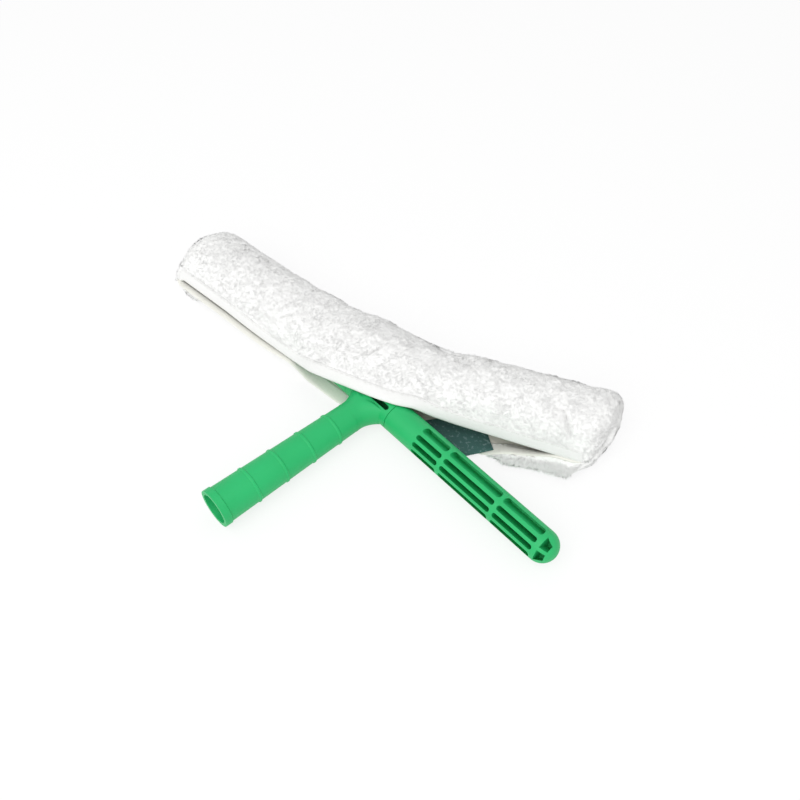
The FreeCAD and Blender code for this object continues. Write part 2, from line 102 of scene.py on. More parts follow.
# %% [markdown]
# Cut across, the sleeve is a C of cloth, open at the front. On the left its two lips are pressed together.
# Then they part: the upper lip climbs over the hub of the bar and sinks again behind the right arm, and the
# lower lip lies flat on the floor and curls up towards the right end. Each lip's edge is a short table of
# places (along, across and up), smoothed, so that the hem runs in one easy line as sewn cloth does.

# %% The edges of the two lips
UPPER_EDGE = [
    (0, -29.4, 6.2), (60, -29.4, 5.4), (110, -29.6, 1.6), (136, -30.0, -1.4),
    (152, -36.6, 8.2), (164, -38.5, 13.0), (186, -36.2, 13.7), (218, -35.0, 13.9),
    (228, -31.8, 12.2), (240, -29.8, 6.2), (258, -28.5, 3.0), (328, -28.5, 2.0), (360, -28.5, 1.5),
]
LOWER_EDGE = [
    (0, -34.2, 3.2), (60, -34.2, 2.4), (110, -33.4, -1.4), (128, -31.8, -3.6), (137, -30.6, -9.8),
    (144, -31.2, -13.6), (153, -32.0, -13.9), (176, -34.8, -13.9), (282, -34.8, -13.9),
    (295, -32.0, -9.0), (312, -29.8, -7.0), (326, -29.2, -3.2), (336, -29.6, 0.1), (360, -29.6, 0.1),
]
SMOOTHING = 29


def along_sleeve(rows):
    """Makes a smooth function of s from a table whose first column is s."""
    rows = np.array(rows, float)
    window = np.hanning(SMOOTHING) / np.hanning(SMOOTHING).sum()
    columns = []
    for values in rows.T[1:]:
        raw = np.pad(np.interp(LINE_S, rows[:, 0], values), SMOOTHING // 2, mode="edge")
        columns.append(np.convolve(raw, window, mode="valid"))
    return lambda s: [np.interp(s, LINE_S, column) for column in columns]


upper_edge = along_sleeve(UPPER_EDGE)
lower_edge = along_sleeve(LOWER_EDGE)
openings = [upper_edge(s)[1] - lower_edge(s)[1] for s in range(0, int(SLEEVE_LENGTH), 4)]
print("slit at its widest:", round(max(openings), 1), "mm")

# %% [markdown]
# The rest of the section is a smooth line through a few points, from the upper lip over the top, down the
# back and along the floor to the lower lip. That lip is anything between lying flat and being closed.

# %% A line across the sleeve
LOWER_LIP_FLAT = [(-14.0, -13.9), (-21.0, -13.9), (-28.5, -13.9), (-34.8, -13.9)]
LOWER_LIP_SHUT = [(-14.0, -13.2), (-22.0, -9.5), (-27.4, 0.8), (-32.6, 3.6)]
EDGE_REACH = np.array([[0.0], [0.15], [0.5], [1.0]])
STEPS_PER_RUN = 12


def smooth_line(points, count):
    """Evenly spaced points on a Catmull-Rom line through the given points."""
    p = np.array(points, float)
    p = np.vstack([2 * p[0] - p[1], p, 2 * p[-1] - p[-2]])
    t = np.linspace(0, 1, STEPS_PER_RUN, endpoint=False)[:, None]
    runs = []
    for a, b, c, d in zip(p[:-3], p[1:-2], p[2:-1], p[3:]):
        square, cube = 2 * a - 5 * b + 4 * c - d, 3 * (b - c) + d - a
        runs.append(0.5 * (2 * b + (c - a) * t + square * t**2 + cube * t**3))
    line = np.vstack(runs + [p[-2:-1]])
    along = np.concatenate([[0], np.cumsum(np.linalg.norm(np.diff(line, axis=0), axis=1))])
    at = np.linspace(0, along[-1], count)
    return np.stack([np.interp(at, along, line[:, k]) for k in (0, 1)], axis=-1)


def lower_lip(out, low):
    """The lower lip's points, between lying flat and being closed, with its edge in the given place."""
    flat_z, shut_z = LOWER_LIP_FLAT[-1][1], LOWER_LIP_SHUT[-1][1]
    shut = np.clip((low - flat_z) / (shut_z - flat_z), 0, 1)
    lip = (1 - shut) * np.array(LOWER_LIP_FLAT) + shut * np.array(LOWER_LIP_SHUT)
    return lip + (np.array([out, low]) - lip[-1]) * EDGE_REACH


print("lower lip at its right end:", lower_lip(*lower_edge(SLEEVE_LENGTH)).round(1).tolist())

# %% [markdown]
# A table says how wide and how high the sleeve is from place to place: it bulges over the hub, dips at the
# fold, and fills out again at its ends. There the line closes in on one point, as a gathered end does, and
# the two lips are drawn together, because the ends of the slit are sewn shut.

# %% The sleeve's section
OVER_THE_TOP = [(-12.0, 21.6), (-2.0, 23.8), (8.0, 23.4), (19.0, 19.0), (26.4, 10.5), (28.4, 1.0)]
UNDERNEATH = [(26.2, -8.0), (20.0, -12.8), (8.0, -13.8), (-6.0, -13.9)]
FRONT_SLOPE = [(0.0, 0.0), (0.13, 0.30), (0.34, 0.60), (0.63, 0.86)]
FULLNESS = [
    (0, 1.0, -2.0), (30, 1.0, -2.5), (60, 1.0, -0.5), (100, 1.0, 0.0), (135, 0.97, -3.5),
    (158, 1.0, -0.5), (178, 1.0, 2.8), (198, 0.98, 0.5), (215, 0.95, -1.5), (235, 0.94, -4.5),
    (275, 0.96, -3.5), (320, 1.0, -2.0), (360, 1.04, -1.0),
]
AROUND = 150
END_ROUND = 11.0
LEFT_END, RIGHT_END = (-17.0, 4.0), (-6.0, 3.0)
SHUT_OVER = 6.0
SEAM = 12
SEAM_PULL = np.linspace(1, 0, SEAM) ** 2
fullness = along_sleeve(FULLNESS)


def gathered(line, s, to_end):
    """A section near an end of the sleeve, drawn in to one point, with its two lips drawn together."""
    middle = LEFT_END if s < HALFWAY else RIGHT_END
    line = middle + (line - middle) * (1 - (1 - to_end / END_ROUND) ** 3) ** (1 / 3)
    sewn_shut = ease((END_ROUND - to_end) / SHUT_OVER)
    for side in (line[:SEAM], line[: -SEAM - 1 : -1]):
        side += (line[[0, -1]].mean(axis=0) - side[0]) * sewn_shut * SEAM_PULL[:, None]
    return line


def section(s):
    """The backing's line across the sleeve at s, from the upper lip round the back to the lower lip."""
    front, edge = upper_edge(s)
    wide, lift = fullness(s)
    over = np.array(OVER_THE_TOP)
    over[:, 1] += lift * over[:, 1] / over[1, 1]
    rise, slope = over[0, 1] - edge, over[0, 0] - front
    upper = [(front + away * slope, edge + up * rise) for away, up in FRONT_SLOPE]
    line = smooth_line([*upper, *over, *UNDERNEATH, *lower_lip(*lower_edge(s))], AROUND)
    line[:, 0] = np.where(line[:, 0] > 0, line[:, 0] * wide, line[:, 0])
    to_end = min(s, SLEEVE_LENGTH - s)
    return gathered(line, s, to_end) if to_end < END_ROUND else line


girth = np.linalg.norm(np.diff(section(200.0), axis=0), axis=1).sum()
print("cloth round the sleeve, in the middle:", round(girth), "mm")

# %% [markdown]
# The whole cloth is worked out once as a grid of points, rows along the sleeve and columns round it. The
# skin, its fuzz, its hems and its stitches are then all laid on this one grid, so they fit each other. The
# rows are closer together where the ends close in, and the right end is cut at a slant.

# %% The cloth as a grid
CLOSING = np.linspace(0, 0.985, 24)
END_ROWS = END_ROUND * (1 - (1 - CLOSING**3) ** (1 / 3))
EVEN_FROM = END_ROUND * 0.85
LEFT_ROWS = np.linspace(EVEN_FROM, HALFWAY, 113)
RIGHT_ROWS = np.linspace(HALFWAY, SLEEVE_LENGTH - EVEN_FROM, 158)
STATIONS = np.unique(np.concatenate([END_ROWS, LEFT_ROWS, RIGHT_ROWS, SLEEVE_LENGTH - END_ROWS]))
END_SLANT = 13.0
SLANT_FROM, SLANT_OVER = 290.0, 70.0
SLANT_BACK, SLANT_DEPTH, SLANT_PIVOT = 28.0, 60.0, 0.27


def unit(v):
    """Vectors of length 1 in the same directions."""
    return v / np.maximum(np.linalg.norm(v, axis=-1, keepdims=True), 1e-9)


def grid_normals(grid):
    """Unit normals of a grid of points; the two end rows look along the sleeve."""
    normal = unit(np.cross(np.gradient(grid, axis=0), np.gradient(grid, axis=1)))
    normal[0] = unit(grid[0, 0] - grid[6].mean(axis=0))
    normal[-1] = unit(grid[-1, 0] - grid[-7].mean(axis=0))
    return normal


station = STATIONS[:, None]
lines = np.array([section(s) for s in STATIONS])
towards_front = (SLANT_BACK - lines[..., 0]) / SLANT_DEPTH - SLANT_PIVOT
slant = END_SLANT * ease((station - SLANT_FROM) / SLANT_OVER) * towards_front
cloth = place(station - slant, lines[..., 0], lines[..., 1])
outward = grid_normals(cloth)
print("cloth grid:", cloth.shape, "top looks up:", outward[len(STATIONS) // 2, AROUND // 3, 2].round(2))

# %% [markdown]
# The distance of every point from each lip is kept for later. On the ends, where the plush runs across the
# sewn lips, the normals of both sides turn to one direction, and every point counts as far from a lip.

# %% The sewn ends
SEWN_FROM, SEWN_OVER = 6.5, 4.0
FAR_FROM_LIP = 30.0

closed = ease((SEWN_FROM - np.minimum(STATIONS, SLEEVE_LENGTH - STATIONS)) / SEWN_OVER)[:, None]
seam_normal = unit(outward[:, :1] + outward[:, -1:])
for side in (outward[:, :SEAM], outward[:, : -SEAM - 1 : -1]):
    side += (seam_normal - side) * (closed * SEAM_PULL)[..., None]
outward = unit(outward)
steps = np.linalg.norm(np.diff(cloth, axis=1), axis=-1)
from_upper = np.concatenate([np.zeros((len(STATIONS), 1)), np.cumsum(steps, axis=1)], axis=1)
from_lower = from_upper[:, -1:] - from_upper
past_upper, past_lower = from_upper + FAR_FROM_LIP * closed, from_lower + FAR_FROM_LIP * closed
print("rows on the sewn ends:", int((closed > 0).sum()))

# %% [markdown]
# Plush is a thick pile on a woven backing. Its surface is neither smooth nor spiky: the pile stands in soft
# tufts a few millimetres wide, with shallow creases between them. A cell pattern gives that: each point is
# as high as it is far from the border between its two nearest tufts. Broad and fine tufts are mixed, and
# the table gives each its share, how far its borders wander, its size and a seed.

# %% Tufts
WANDER_SIZE = 9.0
WANDER_SEEDS = (2.3, 5.9, 8.4)
TUFT_SLOPE = 0.55
TUFTS = [(0.65, 2.2, 6.4, 1.7), (0.35, 1.0, 3.4, 9.1)]


def uneven(points, size, seed):
    """Smooth noise, about -1 to 1, for each point of an array in millimetres."""
    flat = points.reshape(-1, 3) / size + seed
    return np.array([noise.noise(Vector(p)) for p in flat]).reshape(points.shape[:-1])


def uneven_vectors(points, size, seeds):
    """Smooth noise with a value for each of three directions."""
    return np.stack([uneven(points, size, seed) for seed in seeds], axis=-1)


def tufts(points, size, seed):
    """0 on the border between two tufts, rising to 1 on their crests."""
    heights = []
    for p in points.reshape(-1, 3) / size + seed:
        near = noise.voronoi(Vector(p))[0]
        heights.append(near[1] - near[0])
    return ease(np.array(heights).reshape(points.shape[:-1]) / TUFT_SLOPE)


wander = uneven_vectors(cloth, WANDER_SIZE, WANDER_SEEDS)
# The height of the tufts shapes the pile, and kept on the points it also sets painted shade in the finish.
crest_and_shade = sum(part * tufts(cloth + stray * wander, size, seed) for part, stray, size, seed in TUFTS)
print("tufts from", crest_and_shade.min().round(2), "to", crest_and_shade.max().round(2))

# %% [markdown]
# The pile is thin along the hems, where it is sewn flat, and underneath, where the sleeve lies on it. In
# between it swells and thins a little from place to place. The bare strip along the lower lip is broad on
# the left, where a tape covers it, and is gone on the right, where the pile comes round the edge.

# %% Thickness of the pile
PILE = 4.2
FLAT_PILE = 0.3
UNDER_PILE = 0.15
SEWN_FULLNESS = 0.3
TUFT_HEIGHT, TUFT_MIDDLE = 0.8, 0.4
UPPER_BARE = 7.6
LOWER_BARE = ([0, 140, 150, 280, 290], [9.0, 9.0, 3.0, 3.0, -2.0])
HEM_RISES = (22.0, 10.0)
LOOSE_FROM = 8.0
LOOSE_RISES = (5.0, 6.0)
UNDER_FROM, UNDER_OVER = 0.4, 0.45
SWELLS = [(1.6, 34.0, 3.1), (0.8, 14.0, 7.7)]

flat_below = np.interp(STATIONS, *LOWER_BARE)[:, None]
hemmed = ease((from_upper - UPPER_BARE) / HEM_RISES[0]) * ease((from_lower - flat_below) / HEM_RISES[1])
hemmed = np.maximum(hemmed, SEWN_FULLNESS * closed)
loose = ease((past_upper - LOOSE_FROM) / LOOSE_RISES[0]) * ease((past_lower - flat_below) / LOOSE_RISES[1])
under = ease((-outward[..., 2] - UNDER_FROM) / UNDER_OVER)
bulge = sum(height * uneven(cloth, size, seed) for height, size, seed in SWELLS)
standing = hemmed * (PILE - FLAT_PILE + bulge) + loose * TUFT_HEIGHT * (crest_and_shade - TUFT_MIDDLE)
pile = FLAT_PILE + (1 - under) * standing + UNDER_PILE * under
print("pile up to", pile.max().round(1), "mm")

# %% [markdown]
# A few short grooves mark where the cloth is pinched, and the left end sags over its lower lip. On the
# right the pile of the curled lip is pressed forward and down, and rolls out over the floor.

# %% The surface of the plush
FLOOR_Z = -14.6
FLOOR_GAP = 0.15
CREASES = [(188, -9, 60, 7), (113, -13, 50, 6), (86, -20, 35, 5), (334, -13, -50, 9), (327, -6, 20, 5)]
CREASE_DEPTH, CREASE_WIDTH = 2.4, 1.5
SAG = 4.5
SAG_UNTIL, SAG_OVER = 36.0, 20.0
SAG_FROM_LIP, SAG_WIDTH = 17.0, 7.0
ROLL_FIRST, ROLL_LAST = 284.0, 357.0
ROLL_FADE_IN, ROLL_FADE_OUT = 14.0, 9.0
ROLL_FULL, ROLL_REACH = 1.25, 12.0
ROLL_FORWARD, ROLL_DOWN, ROLL_HEIGHT = 7.2, 0.7, 2.0


def creased(s, across, turn, half):
    """A short groove in the top of the pile: 1 along its line, 0 away from it."""
    along, away = station - s, lines[..., 0] - across
    turn = math.radians(turn)
    on = along * math.cos(turn) + away * math.sin(turn)
    off = away * math.cos(turn) - along * math.sin(turn)
    return np.exp(-((off / CREASE_WIDTH) ** 2) - (on / half) ** 4) * (lines[..., 1] > 0)


def straight_ahead(s):
    """The direction out of the slit, across the sleeve at s."""
    return place(s, -1.0, 0.0) - place(s, 0.0, 0.0)


pile -= CREASE_DEPTH * sum(creased(*crease) for crease in CREASES)
sagging = ease((SAG_UNTIL - station) / SAG_OVER) * np.exp(-(((from_lower - SAG_FROM_LIP) / SAG_WIDTH) ** 2))
plush = cloth + outward * (pile + SAG * sagging)[..., None]
rolled = ease((station - ROLL_FIRST) / ROLL_FADE_IN) * ease((ROLL_LAST - station) / ROLL_FADE_OUT)
rolled = rolled * ease(ROLL_FULL - from_lower / ROLL_REACH)
plush += straight_ahead(STATIONS)[:, None] * (ROLL_FORWARD * rolled)[..., None]
plush[..., 2] -= ROLL_DOWN * rolled * (plush[..., 2] - FLOOR_Z - ROLL_HEIGHT)
plush[..., 2] = np.maximum(plush[..., 2], FLOOR_Z + FLOOR_GAP)
print("plush from", plush.min((0, 1)).round(1), "to", plush.max((0, 1)).round(1))

# %% [markdown]
# Cloth and tape are made from grids. A flat grid primitive is the natural start: its corners are moved to
# an array of points, its seams are merged and its open ends are filled, so that it is a closed body.

# %% A body from a grid
SHARP_ANGLE = 60.0


def nothing_selected():
    if bpy.context.mode != "OBJECT":
        bpy.ops.object.mode_set(mode="OBJECT")
    bpy.ops.object.select_all(action="DESELECT")


def edit_everything():
    bpy.ops.object.mode_set(mode="EDIT")
    bpy.ops.mesh.select_all(action="SELECT")


def shaped_grid(name, points, values=None):
    """A grid primitive whose corners go to an array of points in millimetres, as a closed body."""
    nothing_selected()
    rows, columns = points.shape[:2]
    bpy.ops.mesh.primitive_grid_add(x_subdivisions=rows - 1, y_subdivisions=columns - 1, size=2)
    made = bpy.context.object
    made.name = made.data.name = name
    flat = np.zeros(rows * columns * 3)
    made.data.vertices.foreach_get("co", flat)
    corner = flat.reshape(-1, 3)[:, :2] / 2 + 0.5
    row, column = np.rint(corner * (rows - 1, columns - 1)).astype(int).T
    made.data.vertices.foreach_set("co", (points[row, column] * MM).ravel())
    for title, field in (values or {}).items():
        layer = made.data.attributes.new(title, "FLOAT", "POINT")
        layer.data.foreach_set("value", field[row, column].astype(np.float32))
    made.data.update()
    edit_everything()
    bpy.ops.mesh.remove_doubles(threshold=1e-6)
    bpy.ops.mesh.fill_holes(sides=0)
    bpy.ops.mesh.select_all(action="SELECT")
    bpy.ops.mesh.normals_make_consistent(inside=False)
    bpy.ops.object.mode_set(mode="OBJECT")
    bpy.ops.object.shade_smooth_by_angle(angle=math.radians(SHARP_ANGLE))
    return made


def there_and_back(outside, inside):
    """Joins two grids into rings: along the outside, back along the inside, and closed."""
    return np.concatenate([outside, inside[:, ::-1], outside[:, :1]], axis=1)

# %% [markdown]
# The skin is the plush outside and the woven lining inside, closed into one body. Where the plush rolls
# forward under the right lip, a few more columns carry its tufts back up to the lip's edge. The lining lies
# under the cloth grid, deeper over the top than along the floor.

# %% Outside and lining
LINING_STEP = 3
ROLL_COLUMNS = 9
ROLL_TUFT = 3.6
ROLL_RISE, ROLL_TUFT_RISE = 1.0, 1.8
BACKING_SHARES = np.array([0, 0.3, 0.8, 1])
BACKING_DEPTHS = [1.2, 1.8, 0.9, 0.9]

roll_share = np.linspace(0, 1, ROLL_COLUMNS + 2)[None, 1:-1, None]
roll = plush[:, -1:] * (1 - roll_share) + cloth[:, -1:] * roll_share
roll_crest_and_shade = tufts(roll, ROLL_TUFT, 4.4)
roll_arch = np.sin(roll_share[..., 0] * math.pi)
roll[..., 2] += (ROLL_RISE + ROLL_TUFT_RISE * roll_crest_and_shade) * roll_arch * rolled[:, -1:]
outside = np.concatenate([plush, roll], axis=1)
outside_crest_shade = np.concatenate([crest_and_shade, roll_crest_and_shade], axis=1)
outside_normals = grid_normals(outside)
backing = np.interp(np.arange(AROUND), BACKING_SHARES * AROUND, BACKING_DEPTHS)
lining = (cloth - outward * backing[:, None])[:, ::LINING_STEP]
print("outside:", outside.shape, "lining:", lining.shape)

# %% [markdown]
# It is two pieces, one for each fold, because a piece can bend at one joint only. They meet in the middle
# panel, where neither of them bends. Two values are kept on the points for the finish: the height of the
# tufts' crests, which the finish turns into painted shade in the creases, and which is lining. A third finds
# each point's own normal after the merging, so both pieces shade as one cloth.

# %% The skin of the sleeve
rings = there_and_back(outside, lining)
ring_normals = there_and_back(outside_normals, -outward[:, ::LINING_STEP]).reshape(-1, 3)
# The tuft height kept here is used by the finish as painted shade, greyer in the creases.
ring_values = {
    "crest_and_shade": there_and_back(outside_crest_shade, np.ones(lining.shape[:2])),
    "lining": there_and_back(np.zeros_like(outside_crest_shade), np.ones(lining.shape[:2])),
    "spot": np.arange(rings.shape[0] * rings.shape[1]).reshape(rings.shape[:2]),
}


def kept_values(piece, title):
    """The values that a piece keeps on its points."""
    values = np.zeros(len(piece.data.vertices))
    piece.data.attributes[title].data.foreach_get("value", values)
    return values


def skin(name, first, last):
    inside = (STATIONS >= first) & (STATIONS <= last)
    piece = shaped_grid(name, rings[inside], {title: field[inside] for title, field in ring_values.items()})
    spots = kept_values(piece, "spot").astype(int)
    piece.data.normals_split_custom_set_from_vertices(ring_normals[spots].tolist())
    piece.data.attributes.remove(piece.data.attributes["spot"])
    return piece


sleeve_left = skin("sleeve_left", 0, HALFWAY)
sleeve_right = skin("sleeve_right", HALFWAY, SLEEVE_LENGTH)
print("skin faces:", len(sleeve_left.data.polygons), len(sleeve_right.data.polygons))

# %% [markdown]
# Over the tufts stands a fine fuzz that softens the sleeve's outline. Hair particles would draw it, but they
# leave no mesh behind. So one fibre is modelled from a cone with three sides, cut once so that it can bend,
# and is copied all over the plush.

# %% One fibre
FIBRE_CUT = 0.05
FIBRE_FLAT = 0.4
FIBRE_TAPER = ([0, 0.55, 1.0], [1.0, 0.8, 0.0])


def taken_apart(made):
    """The points and faces of a small mesh, whose object is removed."""
    bpy.ops.object.mode_set(mode="OBJECT")
    points = np.array([v.co for v in made.data.vertices])
    faces = np.array([p.vertices for p in made.data.polygons])
    bpy.data.objects.remove(made)
    return points, faces


nothing_selected()
bpy.ops.mesh.primitive_cone_add(vertices=3, radius1=1.0, radius2=0.0, depth=1.0, end_fill_type="NGON")
fibre = bpy.context.object
edit_everything()
bpy.ops.mesh.bisect(plane_co=(0, 0, FIBRE_CUT), plane_no=(0, 0, 1))
bpy.ops.mesh.select_all(action="SELECT")
bpy.ops.mesh.quads_convert_to_tris()
fibre_points, fibre_faces = taken_apart(fibre)
fibre_points = fibre_points + (0, 0, 0.5)
fibre_turn = np.arctan2(fibre_points[:, 1], fibre_points[:, 0])
fibre_width = np.interp(fibre_points[:, 2], *FIBRE_TAPER)
print("a fibre has", len(fibre_faces), "faces")

# %% [markdown]
# A fibre's curve starts in the plush, rises along its normal and leans over to its tip. All the copies are
# worked out together as arrays, which is far quicker than one object each. Their normals are turned towards
# the plush's own, because real fibres scatter light between them and look as bright as what they stand on.

# %% Copies of the fibre
FIBRE_ROUND = 0.25
# How dark each fibre's root is painted, as shade deep in the pile.
ROOT_PAINTED_SHADE = 0.55


def mesh_piece(name, points, faces, normals=None):
    """A new piece from arrays of points in millimetres and of faces."""
    mesh = bpy.data.meshes.new(name)
    mesh.from_pydata((points.reshape(-1, 3) * MM).tolist(), [], faces.tolist())
    mesh.shade_smooth()
    if normals is not None:
        mesh.normals_split_custom_set_from_vertices(normals.reshape(-1, 3).tolist())
    piece = bpy.data.objects.new(name, mesh)
    bpy.context.scene.collection.objects.link(piece)
    return piece


def copied_faces(faces, points, count):
    """The faces of many copies of one small mesh, whose points follow each other."""
    return (faces[None] + (np.arange(count) * len(points))[:, None, None]).reshape(-1, 3)


def fibres(name, start, bend, tip, normal, radius):
    """Copies of the fibre along curves from start to tip; bend draws each curve to its side."""
    count = len(start)
    t = fibre_points[:, 2][None, :, None]
    start, bend, tip = start[:, None], bend[:, None], tip[:, None]
    line = start * (1 - t) ** 2 + bend * 2 * t * (1 - t) + tip * t**2
    way = unit((bend - start) * (1 - t) + (tip - bend) * t)
    side = unit(np.cross(normal[:, None], way))
    across, over = np.cos(fibre_turn)[None, :, None], FIBRE_FLAT * np.sin(fibre_turn)[None, :, None]
    out = side * across + np.cross(way, side) * over
    points = line + out * (fibre_width[None, :] * radius[:, None])[..., None]
    normals = unit(out * FIBRE_ROUND + normal[:, None])
    piece = mesh_piece(name, points, copied_faces(fibre_faces, fibre_points, count), normals)
    # Each fibre is painted darker towards its root and full white at its tip, as shade deep in the pile.
    height = piece.data.attributes.new("crest_and_shade", "FLOAT", "POINT")
    root_to_tip_shade = ROOT_PAINTED_SHADE + (1 - ROOT_PAINTED_SHADE) * fibre_points[:, 2]
    height.data.foreach_set("value", np.tile(root_to_tip_shade, count).astype(np.float32))
    return piece

# %% [markdown]
# The fuzz is scattered evenly over the plush, but not on the tapes and not underneath. It is combed one way
# in one place and another way in the next, as handled plush is.

# %% The fuzz
FUZZ_LENGTH = (1.2, 2.4)
FUZZ_RADIUS = (0.14, 0.26)
FUZZ_DEPTH = 0.3
FUZZ_STRAY = 0.15
FUZZ_LEAN = 1.2
FUZZ_OFF_FLOOR = 0.2
BEND_LEAN, BEND_AT = 0.8, 0.4
LOOKS_DOWN = -0.5
COMB_SIZE = 12.0
COMB_SEEDS = (3.7, 6.2, 9.5)
COMB_DOWN = (0, 0, -0.25)


def on_cloth(field, s, share):
    """Reads a field of the cloth grid between its points."""
    i = np.interp(s, STATIONS, np.arange(len(STATIONS)))
    columns = field.shape[1]
    j = share * (columns - 1)
    i0 = np.clip(i.astype(int), 0, len(STATIONS) - 2)
    j0 = np.clip(j.astype(int), 0, columns - 2)
    field = field.reshape(len(STATIONS), columns, -1)
    u, v = (i - i0)[:, None], (j - j0)[:, None]
    low = field[i0, j0] * (1 - v) + field[i0, j0 + 1] * v
    high = field[i0 + 1, j0] * (1 - v) + field[i0 + 1, j0 + 1] * v
    return low * (1 - u) + high * u


def scatter(rng, first, last, count):
    """Places on the plush, even by area, as distances along it and shares of the way round."""
    side, other = plush[1:, :-1] - plush[:-1, :-1], plush[:-1, 1:] - plush[:-1, :-1]
    areas = np.linalg.norm(np.cross(side, other), axis=-1)
    middle = (STATIONS[1:] + STATIONS[:-1]) / 2
    areas[(middle < first) | (middle > last)] = 0
    chosen = rng.choice(areas.size, count, p=areas.ravel() / areas.sum())
    i, j = np.unravel_index(chosen, areas.shape)
    s = STATIONS[i] + rng.random(count) * (STATIONS[i + 1] - STATIONS[i])
    return s, (j + rng.random(count)) / (AROUND - 1)


def grow_fuzz(name, first, last, count, seed):
    rng = np.random.default_rng(seed)
    s, share = scatter(rng, first, last, count)
    normal = unit(on_cloth(outward, s, share))
    free = np.minimum(past_upper - UPPER_BARE, past_lower - flat_below)
    grown = (on_cloth(free, s, share)[:, 0] > 0) & (normal[:, 2] > LOOKS_DOWN)
    s, share, normal = s[grown], share[grown], normal[grown]
    root = on_cloth(plush, s, share)
    comb = uneven_vectors(root, COMB_SIZE, COMB_SEEDS) + COMB_DOWN
    comb = unit(comb - normal * np.sum(comb * normal, axis=1, keepdims=True))
    length = rng.uniform(*FUZZ_LENGTH, len(s))[:, None]
    slope = FUZZ_LEAN + FUZZ_LEAN * on_cloth(hemmed, s, share)
    tip = root + unit(normal + comb * slope) * length + rng.normal(0, FUZZ_STRAY, root.shape)
    tip[:, 2] = np.maximum(tip[:, 2], FLOOR_Z + FUZZ_OFF_FLOOR)
    bend = root + unit(normal + comb * BEND_LEAN) * length * BEND_AT
    return fibres(name, root - normal * FUZZ_DEPTH, bend, tip, normal, rng.uniform(*FUZZ_RADIUS, len(s)))


FUZZ_BREAK = 256
fuzz_left = grow_fuzz("fuzz_left", 0, HALFWAY, 24000, 11)
fuzz_middle = grow_fuzz("fuzz_middle", HALFWAY, FUZZ_BREAK, 17000, 12)
fuzz_right = grow_fuzz("fuzz_right", FUZZ_BREAK, SLEEVE_LENGTH, 18000, 13)
print("fuzz faces:", [len(p.data.polygons) for p in (fuzz_left, fuzz_middle, fuzz_right)])

# %% [markdown]
# At the right end the lower lip curls up, and the pile on its outside rolls out from under it, with a fringe
# that reaches over the floor. It is made of the same fibre, longer and thicker, rooted on the roll.

# %% The fringe under the lower lip
FRINGE_ROOTS = (0.935, 0.985)
FRINGE_LENGTH = (1.4, 3.0)
FRINGE_RADIUS = (0.22, 0.42)
FRINGE_STRAY = 0.45
FRINGE_RISE, FRINGE_FALL = (0, 0, 0.9), (0, 0, -0.2)
BEND_OFF_FLOOR, TIP_OFF_FLOOR = 0.4, 0.3
LIT_FROM_ABOVE = (0, 0, 0.4)


def grow_fringe(name, first, last, count, seed):
    rng = np.random.default_rng(seed)
    s = rng.uniform(first, last, count)
    share = rng.uniform(*FRINGE_ROOTS, count)
    root = on_cloth(outside, s, share)
    ahead = straight_ahead(s)
    length = rng.uniform(*FRINGE_LENGTH, count)[:, None]
    tip = root + unit(ahead + FRINGE_FALL + rng.normal(0, FRINGE_STRAY, root.shape)) * length
    bend = root + unit(ahead + FRINGE_RISE) * length * BEND_AT
    tip[:, 2] = np.maximum(tip[:, 2], FLOOR_Z + TIP_OFF_FLOOR)
    bend[:, 2] = np.maximum(bend[:, 2], FLOOR_Z + BEND_OFF_FLOOR)
    soft = unit(on_cloth(outside_normals, s, share) + LIT_FROM_ABOVE)
    return fibres(name, root, bend, tip, soft, rng.uniform(*FRINGE_RADIUS, count))


fringe = grow_fringe("fringe", 284, 355, 1800, 21)
print("fringe faces:", len(fringe.data.polygons))

# %% [markdown]
# Both lips are bound with a woven tape, folded round the edge of the cloth. The upper tape shows its broad
# side outside, as a smooth bright band, and the lower one shows it inside, as a cream strip. On the left,
# where the lips are shut, the lower tape is broad outside too. A tape's section is a small ring of points,
# each at a distance from the edge and a height over the cloth, and that ring is carried along the lip.

# %% Rings along a lip
UPPER_BINDING = [
    (8.4, 0.0), (8.3, 0.5), (5.8, 0.75), (3.0, 0.75), (0.4, 0.6), (-0.9, -0.1),
    (-1.1, -0.7), (-0.7, -1.5), (0.6, -1.9), (3.5, -1.95), (4.2, -1.6),
    (3.4, -1.2), (0.5, -1.1), (0.1, -0.6), (0.5, 0.0), (5.0, 0.0),
]
LOWER_INSIDE = [
    (10.0, -0.9), (9.9, -1.3), (6.5, -1.45), (3.0, -1.45),
    (0.4, -1.35), (-0.9, -0.9), (-1.0, -0.45), (-0.6, 0.1),
]
LOWER_ON_CLOTH = [(0.5, 0.0), (0.1, -0.45), (0.5, -0.9), (5.0, -0.9)]
LOWER_OUTSIDE = [(0.6, 0.4), (3.5, 0.4), (4.0, 0.2), (3.4, 0.0)]
LEFT_OUTSIDE = [(0.6, 0.5), (4.0, 0.6), (8.0, 0.55), (8.4, 0.3), (8.0, 0.0)]
LOWER_BINDING = LOWER_INSIDE + LOWER_OUTSIDE + LOWER_ON_CLOTH
LEFT_BINDING = LOWER_INSIDE + LEFT_OUTSIDE + LOWER_ON_CLOTH


def lip_points(s, lower, ring):
    """Points beside a lip's edge at each s: a ring's distances into the cloth and heights over it."""
    edge_distance = from_lower if lower else from_upper
    order = slice(None, None, -1) if lower else slice(None)
    found = []
    for at in s:
        row = int(np.argmin(np.abs(STATIONS - at)))
        line, normal, distance = cloth[row, order], outward[row, order], edge_distance[row, order]
        past = unit(line[0] - line[2])
        ring_points = []
        for inward, height in ring:
            point = [np.interp(inward, distance, line[:, k]) for k in range(3)]
            lifted = unit(np.array([np.interp(inward, distance, normal[:, k]) for k in range(3)]))
            ring_points.append(np.array(point) + past * max(0.0, -inward) + lifted * height)
        found.append(ring_points)
    return np.array(found)

